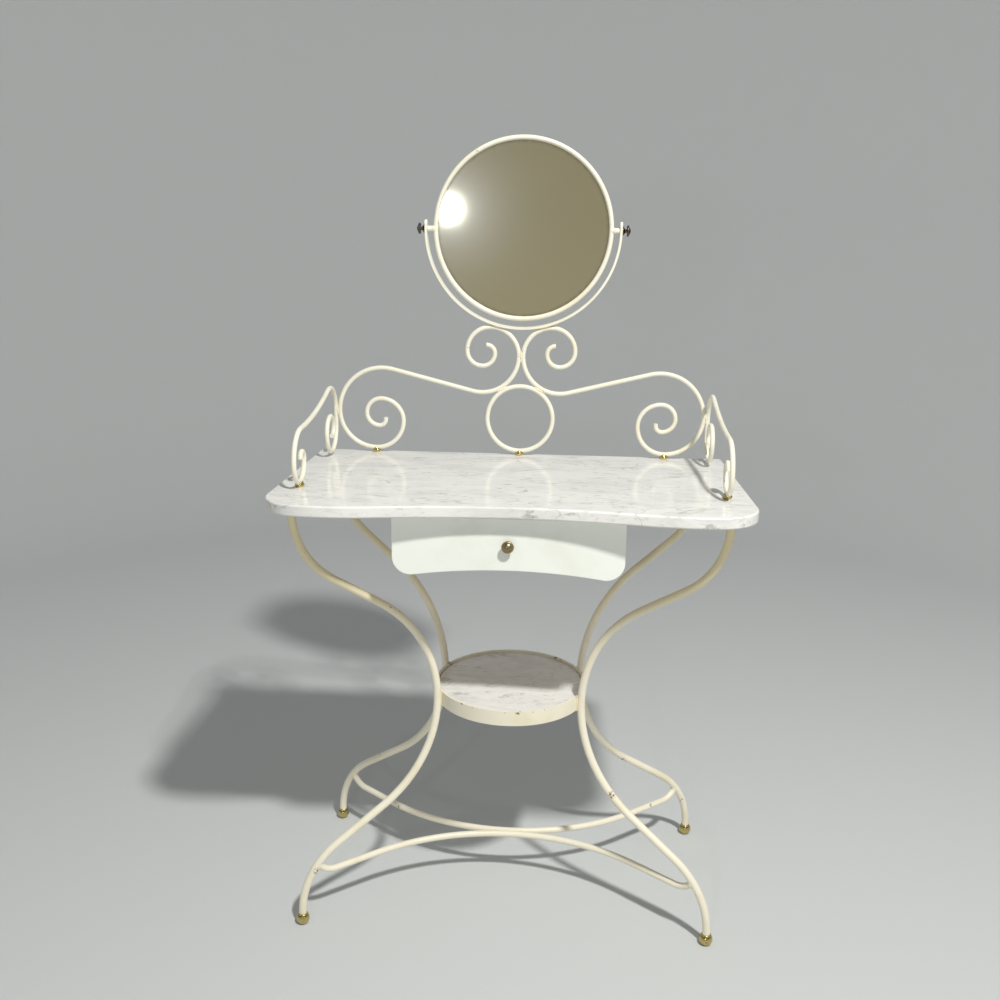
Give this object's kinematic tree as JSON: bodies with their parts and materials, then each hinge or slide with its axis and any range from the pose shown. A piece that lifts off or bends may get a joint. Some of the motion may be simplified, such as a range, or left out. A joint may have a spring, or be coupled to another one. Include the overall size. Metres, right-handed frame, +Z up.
{
  "type": "dressing table",
  "caption": "Dressing table with curved round-bar iron legs, a marble top, a scrolled gallery, an arched drawer, a round marble shelf and a round swivel mirror.",
  "frame": {"origin": "on the floor, under the middle of the marble top's depth and width", "axes": "+Z up, +X to the right as seen from the front, front faces -Y"},
  "size_m": [0.742, 0.3999, 1.2937],
  "materials": {
    "cream_paint": "satin cream paint on iron bar",
    "marble": "polished white marble with grey veins",
    "brass": "aged polished brass",
    "bronze": "antique bronze",
    "white_paint": "white satin paint on wood",
    "drawer_wood": "bare beech",
    "plain_steel": "zinc-plated steel",
    "mirror_glass": "silvered glass",
    "mirror_back": "satin cream paint on sheet steel"
  },
  "bodies": {
    "table": {"leg_front_left": "cream_paint", "leg_front_right": "cream_paint", "leg_rear_left": "cream_paint", "leg_rear_right": "cream_paint", "stretcher_front": "cream_paint", "stretcher_rear": "cream_paint", "shelf_ring": "cream_paint", "shelf_cross": "cream_paint", "gallery_scroll_left": "cream_paint", "gallery_scroll_right": "cream_paint", "gallery_ring": "cream_paint", "gallery_side_left": "cream_paint", "gallery_side_right": "cream_paint", "mirror_yoke": "cream_paint", "frame_bar_front": "cream_paint", "frame_bar_rear": "cream_paint", "frame_bar_left": "cream_paint", "frame_bar_right": "cream_paint", "drawer_runner_left": "cream_paint", "drawer_runner_right": "cream_paint", "marble_top": "marble", "shelf_marble": "marble", "foot_front_left": "brass", "foot_front_right": "brass", "foot_rear_left": "brass", "foot_rear_right": "brass", "gallery_spacers": "brass", "gallery_studs": "plain_steel", "gallery_washers": "plain_steel", "gallery_nuts": "plain_steel"},
    "drawer": {"drawer_front": "white_paint", "drawer_side_left": "drawer_wood", "drawer_side_right": "drawer_wood", "drawer_back": "drawer_wood", "drawer_bottom": "drawer_wood", "drawer_batten_left": "drawer_wood", "drawer_batten_right": "drawer_wood", "drawer_knob": "bronze", "drawer_knob_screw": "plain_steel"},
    "mirror": {"mirror_ring": "cream_paint", "mirror_glass": "mirror_glass", "mirror_back": "mirror_back", "mirror_clips": "plain_steel", "mirror_boss_left": "cream_paint", "mirror_boss_right": "cream_paint"},
    "thumb_left": {"thumb_screw_left": "bronze"},
    "thumb_right": {"thumb_screw_right": "bronze"}
  },
  "joints": [
    {"name": "drawer_slide", "type": "slide", "parent": "table", "child": "drawer", "axis": [0, -1, 0], "range_m": [0, 0.2]},
    {"name": "mirror_tilt", "type": "hinge", "parent": "table", "child": "mirror", "pos_m": [0, 0.188, 1.13968], "axis": [1, 0, 0], "continuous": true},
    {"name": "thumb_left_turn", "type": "hinge", "parent": "mirror", "child": "thumb_left", "pos_m": [-0.165, 0.188, 1.13968], "axis": [1, 0, 0], "range_deg": [0, 180]},
    {"name": "thumb_right_turn", "type": "hinge", "parent": "mirror", "child": "thumb_right", "pos_m": [0.165, 0.188, 1.13968], "axis": [1, 0, 0], "range_deg": [0, 180]}
  ]
}
